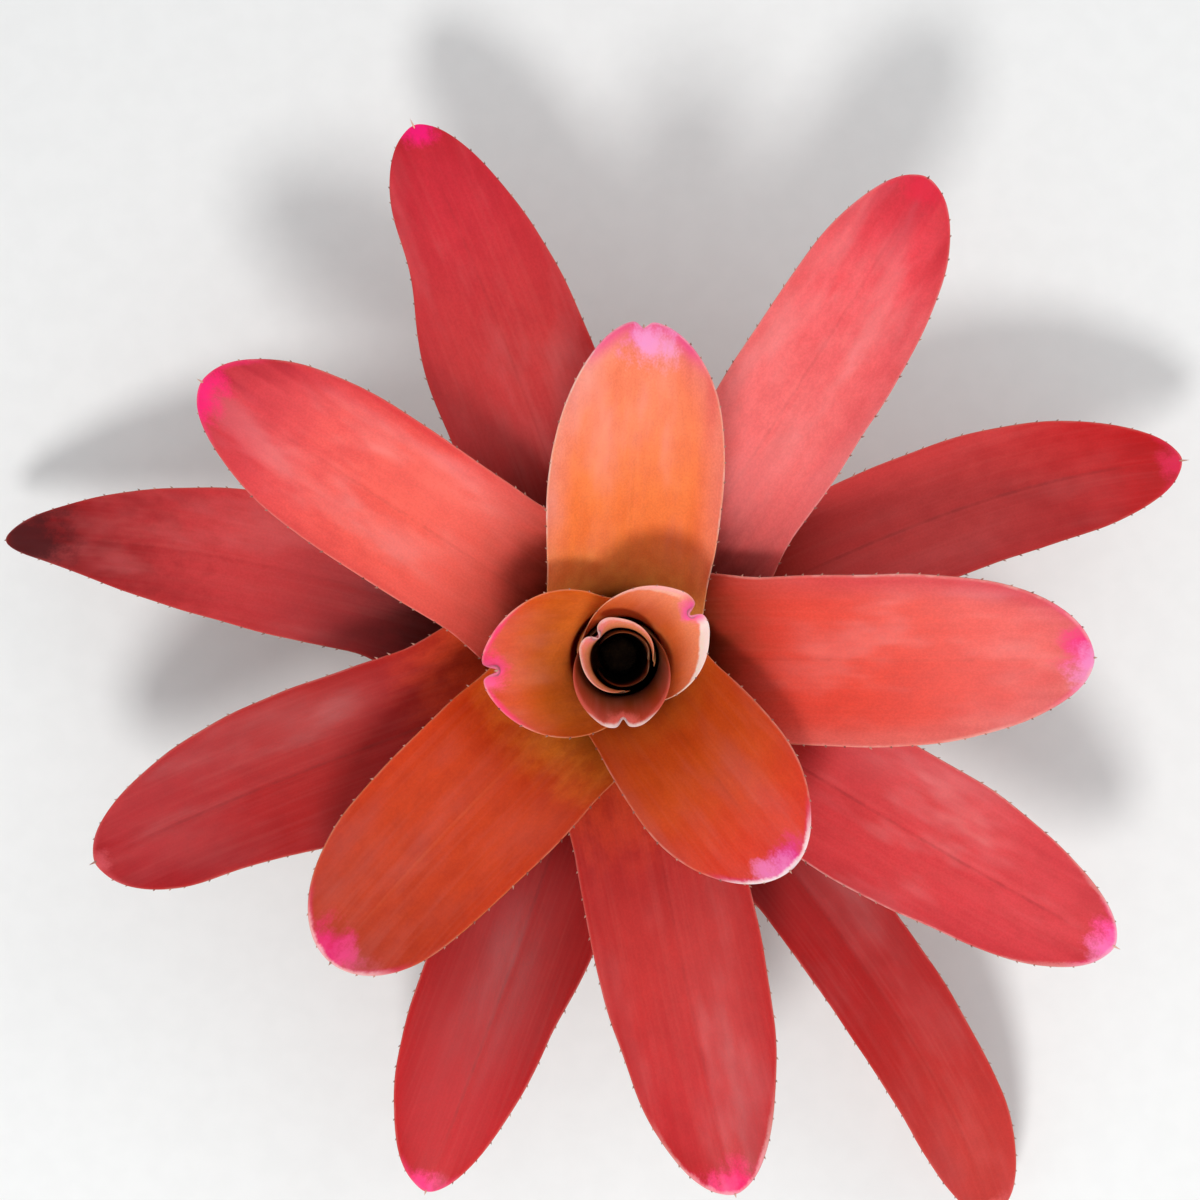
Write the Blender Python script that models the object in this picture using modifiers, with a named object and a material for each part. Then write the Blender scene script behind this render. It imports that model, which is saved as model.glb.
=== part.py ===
"""A bromeliad rosette, cut from its root and standing on its short stem.

Nineteen strap leaves grow from a stubby stem, each about 137 degrees round from the one
before. The broad leaf bases wrap round each other into a water tank, and the blades arch
out of it, the oldest lowest. Units are metres and degrees, +Z is up, and the origin is the
centre of the stem's cut face.
"""

from math import cos, pi, radians, sin

import bmesh
import bpy
import numpy as np

# ---- leaves and seats --------------------------------------------------------------------
LEAF_THICKNESS = 0.0011
SEAT_GAP = 0.0003           # between a leaf's base and the stem
FACET_ROOM = 0.0004         # the flat facets of a wrapped base cut this far inside its circle

# ---- the stem ----------------------------------------------------------------------------
STUB_RADIUS = 0.0180        # at the cut face and up to the lowest leaf
STUB_HEIGHT = 0.0150
SEAT_AGES = [19, 5, 1]      # the outermost leaf, the fifth and the innermost
SEAT_RADII = [0.0165, 0.0092, 0.0065]
SEAT_HEIGHTS = [0.0205, 0.0558, 0.0695]
DOME_HEIGHT = 0.0045        # the growing point above the innermost leaf
SCAR_PITCH = 0.0050         # spacing of the ring scars left by shed leaves
SCAR_DEPTH = 0.0010
CUT_BEVEL = 0.0008
STEM_SIDES = 36

# ---- the wrapped leaf bases: values for leaves between the innermost, 1, and outermost, 19
INNERMOST = 1
OUTERMOST = 19
NECK_AGES = [1, 2, 3, 4, 5, 6, 7, 19]
NECK_RADII = [0.0096, 0.0118, 0.0138, 0.0158, 0.0193, 0.0220, 0.0255, 0.0500]
NECK_HEIGHTS = [0.1060, 0.1400, 0.1385, 0.1370, 0.1200, 0.0980, 0.0951, 0.0600]
NECK_SLOPE_AGES = [1, 3, 5, 7, 19]
NECK_SLOPES = [88, 90, 88, 79, 60]      # where the blades leave the tube, from level
BASE_AGES = [1, 2, 3, 5, 7, 19]
BASE_SLOPES = [73, 55, 48, 40, 34, 25]      # where the leaves leave the stem
BASE_HALF_WIDTHS = [0.015, 0.037]       # of leaves 1 and 19, on the stem
SHEATH_HALF_WIDTHS = [0.034, 0.040, 0.052]  # of leaves 1, 4 and 19, at the widest
SHEATH_HOLDS = [0.13, 0.42]             # how far the sheath curve keeps its base slope
NECK_HOLDS = [0.18, 0.34]               # and its slope at the neck
MOST_WRAP = 142                         # a base reaches this far each way round the tube

# ---- the blades --------------------------------------------------------------------------
BLADE_HANDLES = (0.28, 0.35)            # how far the blade curve holds its end slopes
NECK_NARROWING = 0.12                   # of the half width, at the neck
TIP_NARROWING = 0.18                    # of the half width, at the tip
WIDEST_AT = 0.45                        # along the blade
OPENING_LENGTH = 0.075                  # over which a wrapped base opens into a blade
CHANNEL_RADII = [0.055, 0.085, 0.075]   # across the blade: near the base, halfway, at the tip
CHANNEL_PLACES = [0.25, 0.60, 1.00]
NIP_SPREAD = 0.026                      # over which an edge narrows towards its nip

SHEATH_ROWS = 8
BLADE_ROWS = 10
COLUMNS = 12

# azimuth: where it points     reach: tip from the axis     height: tip above the cut face
# slope: of the tip     half: half width     left, right: lengths over which the edges round in
# left_fullness, right_fullness: of each edge     blunt: 2 is an elliptical tip
# drift: sideways offset of the tip     bow: sideways offset halfway     open: 0 stays rolled
# skew: how much more the right half opens than the left
# lean: 1 keeps the far side of the roll upright where the leaf flares
# left_nip, right_nip: how much narrower that edge is from nip_place to the tip, or, with
# nip_return, how soon it widens again towards the tip
LEAVES = {
    1: dict(azimuth=358, reach=0.0103, height=0.135, slope=87, half=0.0300,
            left=0.020, right=0.020, open=0),
    2: dict(azimuth=136, reach=0.0150, height=0.154, slope=56, half=0.0330,
            left=0.024, right=0.024, open=0, lean=0, blunt=2.5),
    3: dict(azimuth=271, reach=0.0237, height=0.158, slope=36, half=0.0340,
            left=0.028, right=0.028, open=0, lean=0.4, blunt=2.7),
    4: dict(azimuth=34, reach=0.0328, height=0.161, slope=26, half=0.0355, left=0.034,
            right=0.040, open=0.7, skew=0.5, lean=0.7, left_fullness=0.96,
            right_fullness=0.98, blunt=2.5),
    5: dict(azimuth=185, reach=0.0495, height=0.148, slope=14, half=0.0330,
            left=0.035, right=0.035, open=1.0),
    6: dict(azimuth=308.5, reach=0.0948, height=0.150, slope=5, half=0.0330,
            left=0.043, right=0.044, left_fullness=0.89, right_fullness=0.97, blunt=2.6),
    7: dict(azimuth=86.3, reach=0.1185, height=0.160, slope=8, half=0.0358,
            left=0.078, right=0.052, left_fullness=0.89, right_fullness=0.93, blunt=3.0),
    8: dict(azimuth=223.8, reach=0.1475, height=0.150, slope=5, half=0.0335,
            left=0.050, right=0.050, drift=0.006, blunt=2.6, left_nip=0.09,
            nip_place=0.045, nip_return=0.03),
    9: dict(azimuth=359.5, reach=0.1675, height=0.140, slope=0, half=0.0320,
            left=0.055, right=0.080, drift=0.002, blunt=2.4),
    10: dict(azimuth=146.3, reach=0.1808, height=0.125, slope=0, half=0.0320,
             left=0.072, right=0.068, drift=0.001, left_fullness=0.89, blunt=2.7),
    11: dict(azimuth=281, reach=0.2000, height=0.110, slope=-5, half=0.0335,
             left=0.095, right=0.088, drift=0.0035, left_fullness=0.93,
             right_fullness=0.97, blunt=2.5, right_nip=0.06, nip_place=0.060,
             nip_return=0.03),
    12: dict(azimuth=56.8, reach=0.2085, height=0.105, slope=-8, half=0.0315,
             left=0.064, right=0.070, drift=0.002, left_fullness=0.80,
             right_fullness=0.97, blunt=2.6),
    13: dict(azimuth=199.3, reach=0.2092, height=0.092, slope=-8, half=0.0315,
             left=0.075, right=0.100, drift=0.0075, blunt=2.6, left_nip=0.15,
             nip_place=0.056, nip_return=0.026),
    14: dict(azimuth=328.5, reach=0.2130, height=0.088, slope=-8, half=0.0305,
             left=0.090, right=0.080, drift=0.004, left_fullness=0.99, blunt=2.3,
             right_nip=0.09, nip_place=0.062, nip_return=0.03),
    15: dict(azimuth=110, reach=0.2140, height=0.075, slope=-12, half=0.0310,
             left=0.095, right=0.120, drift=0.005, left_fullness=1.08, right_fullness=1.02,
             blunt=2.3, left_nip=0.20, nip_place=0.055, nip_return=0.03),
    16: dict(azimuth=250.6, reach=0.2165, height=0.065, slope=-12, half=0.0290,
             left=0.090, right=0.076, drift=-0.002, right_fullness=1.10, blunt=2.2,
             left_nip=0.18, nip_place=0.075),
    17: dict(azimuth=22.6, reach=0.2272, height=0.055, slope=-18, half=0.0270,
             left=0.105, right=0.058, bow=0.004, drift=-0.0140, right_fullness=0.90,
             blunt=2.3),
    18: dict(azimuth=165, reach=0.2415, height=0.040, slope=-22, half=0.0290,
             left=0.120, right=0.120, drift=0.019, left_fullness=0.88, blunt=1.4,
             left_nip=0.16, nip_place=0.012),
    19: dict(azimuth=307.5, reach=0.2670, height=0.020, slope=-35, half=0.0225,
             left=0.060, right=0.060, bow=0.003, drift=-0.0185, right_fullness=0.85),
}

STEM_COLOUR = (0.20, 0.11, 0.06, 1)
HEART_COLOUR = (0.36, 0.10, 0.03, 1)
OUTER_COLOUR = (0.50, 0.06, 0.06, 1)
LEAF_ROUGHNESS = 0.42
STEM_ROUGHNESS = 0.85


def clear_scene():
    for old in list(bpy.data.objects):
        bpy.data.objects.remove(old, do_unlink=True)


def new_collection(name):
    collection = bpy.data.collections.new(name)
    bpy.context.scene.collection.children.link(collection)
    return collection


def new_material(name, colour, roughness):
    material = bpy.data.materials.new(name)
    material.use_nodes = True
    shader = material.node_tree.nodes["Principled BSDF"]
    shader.inputs["Base Color"].default_value = colour
    shader.inputs["Roughness"].default_value = roughness
    shader.inputs["Metallic"].default_value = 0
    return material


def by_age(age, values):
    """The value for this leaf, between those of the innermost and the outermost."""
    return float(np.interp(age, [INNERMOST, OUTERMOST], values))


def smooth_step(x):
    x = np.clip(x, 0, 1)
    return x * x * (3 - 2 * x)


def seat(age):
    """Radius and height of the leaf's base, just off the stem."""
    stem_radius = float(np.interp(-age, -np.array(SEAT_AGES), SEAT_RADII))
    height = float(np.interp(-age, -np.array(SEAT_AGES), SEAT_HEIGHTS))
    return np.array([stem_radius + SEAT_GAP + LEAF_THICKNESS / 2 + FACET_ROOM, height])


def neck(age):
    """Radius and height where the blade leaves the tube."""
    return np.array([float(np.interp(age, NECK_AGES, values))
                     for values in (NECK_RADII, NECK_HEIGHTS)])


def step(length, slope):
    """A step outwards that climbs at this slope, as radius and height."""
    return length * np.array([cos(radians(slope)), sin(radians(slope))])


def bezier(start, start_handle, end_handle, end, count=160):
    k = np.linspace(0, 1, count)[:, None]
    rest = 1 - k
    return (rest ** 3 * start + 3 * rest ** 2 * k * start_handle
            + 3 * rest * k ** 2 * end_handle + k ** 3 * end)


def sheath_curve(age):
    start = seat(age)
    end = neck(age)
    span = np.linalg.norm(end - start)
    end_slope = float(np.interp(age, NECK_SLOPE_AGES, NECK_SLOPES))
    base_slope = float(np.interp(age, BASE_AGES, BASE_SLOPES))
    return bezier(start, start + step(by_age(age, SHEATH_HOLDS) * span, base_slope),
                  end - step(by_age(age, NECK_HOLDS) * span, end_slope), end)


def blade_curve(age, leaf):
    start = neck(age)
    end = np.array([leaf["reach"], leaf["height"]])
    span = np.linalg.norm(end - start)
    start_slope = float(np.interp(age, NECK_SLOPE_AGES, NECK_SLOPES))
    return bezier(start, start + step(BLADE_HANDLES[0] * span, start_slope),
                  end - step(BLADE_HANDLES[1] * span, leaf["slope"]), end)


def distances(curve):
    steps = np.linalg.norm(np.diff(curve, axis=0), axis=1)
    return np.concatenate([[0], np.cumsum(steps)])


class Midrib:
    """The leaf's midrib in its upright plane, sampled at the rows of the leaf's grid."""

    def __init__(self, age, leaf):
        sheath = sheath_curve(age)
        curve = np.vstack([sheath, blade_curve(age, leaf)[1:]])
        along = distances(curve)
        self.sheath_length = distances(sheath)[-1]
        self.neck_radius = neck(age)[0]
        self.length = along[-1]
        blade_length = self.length - self.sheath_length
        sheath_rows = np.linspace(0, 1, SHEATH_ROWS, endpoint=False) * self.sheath_length
        blade_rows = np.sin(np.linspace(0, pi / 2, BLADE_ROWS + 1)) * blade_length
        self.along = np.concatenate([sheath_rows, self.sheath_length + blade_rows])
        self.up_sheath = np.clip(self.along / self.sheath_length, 0, 1)
        self.up_blade = np.clip((self.along - self.sheath_length) / blade_length, 0, 1)
        self.radius = np.interp(self.along, along, curve[:, 0])
        self.height = np.interp(self.along, along, curve[:, 1])
        out = np.interp(self.along, along, np.gradient(curve[:, 0], along))
        up = np.interp(self.along, along, np.gradient(curve[:, 1], along))
        size = np.hypot(out, up)
        self.out = out / size
        self.up = up / size
        bow = 4 * leaf.get("bow", 0) * self.up_blade * (1 - self.up_blade)
        self.sideways = bow + leaf.get("drift", 0) * self.up_blade ** 3


def half_width(age, leaf, rib):
    """Half width before the tip rounds in: a broad clasping base, a waist, then the blade."""
    before = NECK_NARROWING * (1 - rib.up_blade / WIDEST_AT) ** 2
    beyond = TIP_NARROWING * ((rib.up_blade - WIDEST_AT) / (1 - WIDEST_AT)) ** 2
    blade = leaf["half"] * (1 - np.where(rib.up_blade < WIDEST_AT, before, beyond))
    base = by_age(age, BASE_HALF_WIDTHS)
    widest = float(np.interp(age, [1, 4, 19], SHEATH_HALF_WIDTHS))
    sheath = base + (widest - base) * smooth_step(rib.up_sheath / 0.55)
    return sheath + (blade - sheath) * smooth_step(rib.up_blade / 0.28)


def edge(leaf, rib, width, side):
    """Distance from the midrib to one edge: the tip closes along a superellipse."""
    rounding = leaf[side]
    into_tip = np.clip((rib.along - rib.length + rounding) / rounding, 0, 1)
    closing = np.sqrt(1 - into_tip ** leaf.get("blunt", 2))
    onset = smooth_step((rib.up_sheath + rib.up_blade) / 1.35)
    fullness = 1 + (leaf.get(side + "_fullness", 1) - 1) * onset
    from_tip = rib.length - rib.along
    off_nip = from_tip - leaf.get("nip_place", 0)
    reach = np.where(off_nip > 0, NIP_SPREAD, leaf.get("nip_return", 1))
    nip = leaf.get(side + "_nip", 0) * np.exp(-(off_nip / reach) ** 2)
    return width * closing * fullness * (1 - nip)


def across_leaf(age, leaf, rib):
    """Signed distance across the leaf from the midrib, for every row and column."""
    width = half_width(age, leaf, rib)
    left = edge(leaf, rib, width, "left")[:, None]
    right = edge(leaf, rib, width, "right")[:, None]
    columns = np.linspace(-1, 1, COLUMNS + 1)[None, :]
    return np.where(columns > 0, columns * left, columns * right), width


def wrapped(rib, across, width, lean):
    """The leaf rolled round the stem. As it flares, the far side of the roll stays upright:
    the roll's centre moves out by lean times half of the flare."""
    flare = np.clip(rib.radius - rib.neck_radius, 0, None) * (rib.up_blade > 0)
    centre = lean * flare / 2
    radius = (rib.radius - centre)[:, None]
    most = radians(MOST_WRAP) * radius[:, 0] / width
    turn = across * np.minimum(1, most)[:, None] / radius
    return np.stack([centre[:, None] + radius * np.cos(turn),
                     radius * np.sin(turn) + rib.sideways[:, None],
                     np.broadcast_to(rib.height[:, None], turn.shape)], axis=-1)


def channelled(age, rib, across):
    """The leaf as a gutter along its midrib, an arc across it in every row."""
    bends = np.concatenate([[0.8 / max(neck(age)[0], 0.02)], 1 / np.array(CHANNEL_RADII)])
    bend = np.interp(rib.up_blade, [0] + CHANNEL_PLACES, bends)[:, None]
    sideways = np.sin(bend * across) / bend
    raised = (1 - np.cos(bend * across)) / bend
    slew = np.gradient(rib.sideways, rib.along)
    along = np.stack([rib.out, slew, rib.up], axis=-1)
    along /= np.linalg.norm(along, axis=1, keepdims=True)
    face = np.stack([-rib.up, 0 * rib.up, rib.out], axis=-1)
    aside = np.cross(face, along)
    aside /= np.linalg.norm(aside, axis=1, keepdims=True)
    face = np.cross(along, aside)
    middle = np.stack([rib.radius, rib.sideways, rib.height], axis=-1)
    return (middle[:, None] + aside[:, None] * sideways[..., None]
            + face[:, None] * raised[..., None])


def leaf_points(age, leaf):
    """The leaf's middle surface pointing along +X: rolled at the base, a gutter beyond."""
    rib = Midrib(age, leaf)
    across, width = across_leaf(age, leaf, rib)
    past_neck = rib.along - rib.sheath_length + 0.005
    opened = smooth_step(past_neck / OPENING_LENGTH)[:, None] * leaf.get("open", 1)
    opened = opened * (1 - leaf.get("skew", 0) * np.linspace(-1, 1, COLUMNS + 1)[None, :])
    opened = opened[..., None]
    rolled = wrapped(rib, across, width, leaf.get("lean", 0))
    return rolled * (1 - opened) + channelled(age, rib, across) * opened


def leaf_mesh(name, points):
    """A grid bent onto the leaf's middle surface, its last row closed to the tip."""
    rows, columns = points.shape[:2]
    mesh = bpy.data.meshes.new(name)
    bm = bmesh.new()
    bmesh.ops.create_grid(bm, x_segments=rows - 1, y_segments=columns - 1, size=1)
    for vertex in bm.verts:
        row = round((vertex.co.x + 1) / 2 * (rows - 1))
        column = round((vertex.co.y + 1) / 2 * (columns - 1))
        vertex.co = points[row, column]
    bmesh.ops.remove_doubles(bm, verts=bm.verts, dist=0.00005)
    bm.to_mesh(mesh)
    bm.free()
    mesh.shade_smooth()
    return mesh


def add_leaf(age, leaf, axis, collection, material):
    name = f"leaf_{age:02d}"
    obj = bpy.data.objects.new(name, leaf_mesh(name, leaf_points(age, leaf)))
    obj.rotation_euler.z = radians(leaf["azimuth"])
    obj.parent = axis
    obj.data.materials.append(material)
    shell = obj.modifiers.new("thickness", "SOLIDIFY")
    shell.thickness = LEAF_THICKNESS
    shell.offset = 0
    collection.objects.link(obj)
    return obj


def stem_profile():
    """Radius and height down the stem's side, from the growing point to the cut face."""
    dome = [(SEAT_RADII[-1] * sin(a), SEAT_HEIGHTS[-1] + DOME_HEIGHT * cos(a))
            for a in np.linspace(0, pi / 2, 5)]
    taper = list(zip(SEAT_RADII, SEAT_HEIGHTS))[1::-1] + [(STUB_RADIUS, STUB_HEIGHT)]
    scars = []
    height = STUB_HEIGHT
    while height > SCAR_PITCH * 1.5:
        height -= SCAR_PITCH
        scars.append((STUB_RADIUS - SCAR_DEPTH, height + SCAR_PITCH * 0.45))
        scars.append((STUB_RADIUS, height))
    foot = [(STUB_RADIUS, CUT_BEVEL), (STUB_RADIUS - CUT_BEVEL, 0), (0, 0)]
    return dome + taper + scars + foot


def add_stem(axis, collection, material):
    profile = stem_profile()
    mesh = bpy.data.meshes.new("stem")
    points = [(radius, 0, height) for radius, height in profile]
    mesh.from_pydata(points, [(i, i + 1) for i in range(len(points) - 1)], [])
    obj = bpy.data.objects.new("stem", mesh)
    obj.parent = axis
    mesh.materials.append(material)
    turned = obj.modifiers.new("turned", "SCREW")
    turned.steps = STEM_SIDES
    turned.render_steps = STEM_SIDES
    turned.use_merge_vertices = True
    turned.merge_threshold = 0.0001
    collection.objects.link(obj)
    return obj


def blend(first, second, share):
    return tuple(a + (b - a) * share for a, b in zip(first, second))


def build():
    clear_scene()
    collection = new_collection("bromeliad")
    axis = bpy.data.objects.new("rosette_axis", None)
    axis.empty_display_size = 0.05
    collection.objects.link(axis)
    add_stem(axis, collection, new_material("stem_wood", STEM_COLOUR, STEM_ROUGHNESS))
    for age, leaf in LEAVES.items():
        colour = blend(HEART_COLOUR, OUTER_COLOUR, (age - INNERMOST) / (OUTERMOST - INNERMOST))
        material = new_material(f"leaf_{age:02d}", colour, LEAF_ROUGHNESS)
        add_leaf(age, leaf, axis, collection, material)


build()
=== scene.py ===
from math import pi, radians

import bpy
import numpy as np
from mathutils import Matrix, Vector


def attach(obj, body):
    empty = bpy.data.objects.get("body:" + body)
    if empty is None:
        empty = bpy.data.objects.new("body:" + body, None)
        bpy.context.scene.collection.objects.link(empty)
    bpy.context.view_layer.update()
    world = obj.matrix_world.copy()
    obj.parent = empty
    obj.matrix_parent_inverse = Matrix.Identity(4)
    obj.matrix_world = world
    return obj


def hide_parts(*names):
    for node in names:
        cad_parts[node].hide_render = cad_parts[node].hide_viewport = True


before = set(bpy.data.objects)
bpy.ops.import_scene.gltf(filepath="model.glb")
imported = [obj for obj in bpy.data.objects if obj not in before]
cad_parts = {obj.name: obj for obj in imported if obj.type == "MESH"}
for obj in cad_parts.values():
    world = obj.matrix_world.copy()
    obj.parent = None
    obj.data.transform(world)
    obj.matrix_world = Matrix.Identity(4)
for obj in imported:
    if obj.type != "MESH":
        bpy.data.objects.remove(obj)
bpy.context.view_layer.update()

# The plant in metres and degrees. Leaf 1 is the innermost and leaf 19 the outermost.
# azimuth: where it points; reach and height: its tip; slope: of the tip; half: half width
# left, right: lengths over which the edges round in; drift and bow: sideways offsets
# open: 0 stays rolled; skew: how much more the right half opens than the left
# lean: 1 keeps the far side of the roll upright where the leaf flares
# leftNip, rightNip: how much narrower that edge is from nipPlace to the tip, or, with
# nipReturn, how soon it widens again towards the tip
# leftFull, rightFull: how full that edge is; blunt: 2 is an elliptic tip, more is squarer
# notch and notchSpread: the nick at the tip; pinch: how far the tip stands up beside its fold
# point and pointTone: length of the soft point on the tip, and how dark it is
plantForm = {
    "neckAges": [1, 2, 3, 4, 5, 6, 7, 19],
    "neckRadii": [0.0096, 0.0118, 0.0138, 0.0158, 0.0193, 0.0220, 0.0255, 0.0500],
    "neckHeights": [0.1060, 0.1400, 0.1385, 0.1370, 0.1200, 0.0980, 0.0951, 0.0600],
    "neckSlopeAges": [1, 3, 5, 7, 19],
    "neckSlopes": [88, 90, 88, 79, 60],
    "seatAges": [1, 5, 19],
    "seatRadii": [0.0075, 0.0102, 0.0175],
    "seatHeights": [0.0695, 0.0558, 0.0205],
    "baseAges": [1, 2, 3, 5, 7, 19],
    "baseSlopes": [73, 55, 48, 40, 34, 25],
    "baseWidths": [0.015, 0.037],           # half widths of leaves 1 and 19 at the stem
    "sheathWidths": [0.034, 0.040, 0.052],  # leaves 1, 4 and 19
    "sheathHolds": [0.13, 0.42],            # curve handles, as shares of the span: leaves 1, 19
    "neckHolds": [0.18, 0.34],
    "bladeHolds": [0.28, 0.35],             # at the neck and at the tip
    "sheathWidest": 0.55,                   # these three are shares of the sheath or the blade
    "waistEnds": 0.28,
    "bladeWidest": 0.45,
    "narrowing": [0.12, 0.18],              # of the blade's width at its lower and outer end
    "mostWrap": 150,                        # degrees each way round the tube
    "channelRadii": [0.055, 0.085, 0.075],  # bend of the gutter, at these shares of the blade
    "channelPlaces": [0.25, 0.60, 1.00],
    "nipSpread": 0.026,                     # length over which a nip comes in
}

leafShapes = {
    1: dict(azimuth=358, reach=0.0103, height=0.135, slope=87, half=0.0300, left=0.020,
            right=0.020, open=0, notch=0.0022, notchSpread=0.0012),
    2: dict(azimuth=136, reach=0.0150, height=0.154, slope=56, half=0.0330, left=0.024,
            right=0.024, open=0, blunt=2.5, notch=0.0042, notchSpread=0.0014,
            pinch=0.002),
    3: dict(azimuth=271, reach=0.0237, height=0.158, slope=36, half=0.0340, left=0.028,
            right=0.028, open=0, lean=0.4, blunt=2.7, notch=0.003, notchSpread=0.0013,
            pinch=0.0016),
    4: dict(azimuth=34, reach=0.0328, height=0.161, slope=26, half=0.0355, left=0.034,
            right=0.040, open=0.7, skew=0.5, lean=0.7, leftFull=0.96, rightFull=0.98, blunt=2.5,
            notch=0.004, notchSpread=0.0014, pinch=0.0022),
    5: dict(azimuth=185, reach=0.0495, height=0.148, slope=14, half=0.0330, left=0.035,
            right=0.035, notch=0.005, notchSpread=0.0016, pinch=0.0024),
    6: dict(azimuth=308.5, reach=0.0948, height=0.150, slope=5, half=0.0330, left=0.043,
            right=0.044, leftFull=0.89, rightFull=0.97, blunt=2.6),
    7: dict(azimuth=86.3, reach=0.1185, height=0.160, slope=8, half=0.0358, left=0.078,
            right=0.052, leftFull=0.89, rightFull=0.93, blunt=3.0, notch=0.0024, pinch=0.0012),
    8: dict(azimuth=223.8, reach=0.1475, height=0.150, slope=5, half=0.0335, left=0.050,
            right=0.050, drift=0.006, blunt=2.6, leftNip=0.09, nipPlace=0.045, nipReturn=0.03,
            pointTone=0.8),
    9: dict(azimuth=359.5, reach=0.1675, height=0.140, slope=0, half=0.0320, left=0.055,
            right=0.080, drift=0.002, blunt=2.4),
    10: dict(azimuth=146.3, reach=0.1808, height=0.125, slope=0, half=0.0320, left=0.072,
             right=0.068, drift=0.001, leftFull=0.89, blunt=2.7, point=0.0022, pointTone=0.3),
    11: dict(azimuth=281, reach=0.2000, height=0.110, slope=-5, half=0.0335, left=0.095,
             right=0.088, drift=0.0035, leftFull=0.93, rightFull=0.97, blunt=2.5, rightNip=0.06,
             nipPlace=0.06, nipReturn=0.03, point=0.0016, pointTone=0.4),
    12: dict(azimuth=56.8, reach=0.2085, height=0.105, slope=-8, half=0.0315, left=0.064,
             right=0.070, drift=0.002, leftFull=0.8, rightFull=0.97, blunt=2.6, pointTone=1),
    13: dict(azimuth=199.3, reach=0.2092, height=0.092, slope=-8, half=0.0315, left=0.075,
             right=0.100, drift=0.0075, blunt=2.6, leftNip=0.15, nipPlace=0.056, nipReturn=0.026,
             point=0.0028, pointTone=0.8),
    14: dict(azimuth=328.5, reach=0.2130, height=0.088, slope=-8, half=0.0305, left=0.090,
             right=0.080, drift=0.004, leftFull=0.99, blunt=2.3, rightNip=0.09, nipPlace=0.062,
             nipReturn=0.03, point=0.0030, pointTone=0.2),
    15: dict(azimuth=110, reach=0.2140, height=0.075, slope=-12, half=0.0310, left=0.095,
             right=0.120, drift=0.005, leftFull=1.08, rightFull=1.02, blunt=2.3, leftNip=0.2,
             nipPlace=0.055, nipReturn=0.03, point=0.0036, pointTone=0),
    16: dict(azimuth=250.6, reach=0.2165, height=0.065, slope=-12, half=0.0290, left=0.090,
             right=0.076, drift=-0.002, rightFull=1.1, blunt=2.2, leftNip=0.18, nipPlace=0.075,
             point=0.0020, pointTone=0.4),
    17: dict(azimuth=22.6, reach=0.2272, height=0.055, slope=-18, half=0.0270, left=0.105,
             right=0.058, bow=0.004, drift=-0.014, rightFull=0.9, blunt=2.3, point=0.0040,
             pointTone=0.6),
    18: dict(azimuth=165, reach=0.2415, height=0.040, slope=-22, half=0.0290, left=0.120,
             right=0.120, drift=0.019, leftFull=0.88, blunt=1.4, leftNip=0.16, nipPlace=0.012,
             pointTone=1),
    19: dict(azimuth=307.5, reach=0.2670, height=0.020, slope=-35, half=0.0225, left=0.060,
             right=0.060, bow=0.003, drift=-0.0185, rightFull=0.85),
}

leafBody = {
    "thickness": 0.0011,
    "sheathRows": 36,
    "bladeRows": 116,
    "columns": 44,
    "crowding": 1.35,        # how much the columns crowd to the margins
    "opening": 0.075,        # length over which the roll opens into the blade
    "ripple": 0.010,         # how much the width wavers, as a share
    "crease": 0.00028,       # depth of the fold along the midrib
    "creaseWidth": 0.0016,
    "wave": 0.0007,          # height of the slow waves in the margins
    "rimCurl": 0.0008,       # how far the last few millimetres of the margin turn up
    "rimReach": 0.0022,
    "notchReach": 0.006,     # how far from the tip the notch and the pinch fade
    "pinchReach": 0.009,
    "pinchWidth": 0.0028,    # of the fold, and of the hollows on both sides of it
    "hollowPlace": 0.0065,
    "hollowWidth": 0.0035,
    "marginPoints": 900,
    "baseRounding": 0.003,   # lengths over which the thickness comes in
    "tipRounding": 0.004,
    "thicknesses": [1.10, 0.75],    # shares at the base and at the tip
}


def smoothStep(x):
    # 3x^2 - 2x^3, held at 0 and 1 outside that range
    x = np.clip(x, 0, 1)
    return x * x * (3 - 2 * x)


def between(age, first, last):
    # a straight run from leaf 1 to leaf 19
    return float(np.interp(age, [1, 19], [first, last]))


def step(length, slope):
    # a move of this length at this slope, as radius and height
    return length * np.array([np.cos(radians(slope)), np.sin(radians(slope))])


def bezier(start, startHandle, endHandle, end, count=240):
    # cubic Bezier: the four points weighted (1-k)^3, 3k(1-k)^2, 3k^2(1-k) and k^3
    k = np.linspace(0, 1, count)[:, None]
    return ((1 - k) ** 3 * start + 3 * (1 - k) ** 2 * k * startHandle
            + 3 * (1 - k) * k ** 2 * endHandle + k ** 3 * end)


def distances(curve):
    # running length: the sum of the steps so far
    return np.concatenate([[0], np.cumsum(np.linalg.norm(np.diff(curve, axis=0), axis=1))])


def unit(vectors):
    # each vector divided by its own length
    size = np.linalg.norm(vectors, axis=-1, keepdims=True)
    return vectors / np.maximum(size, 1e-12)


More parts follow.
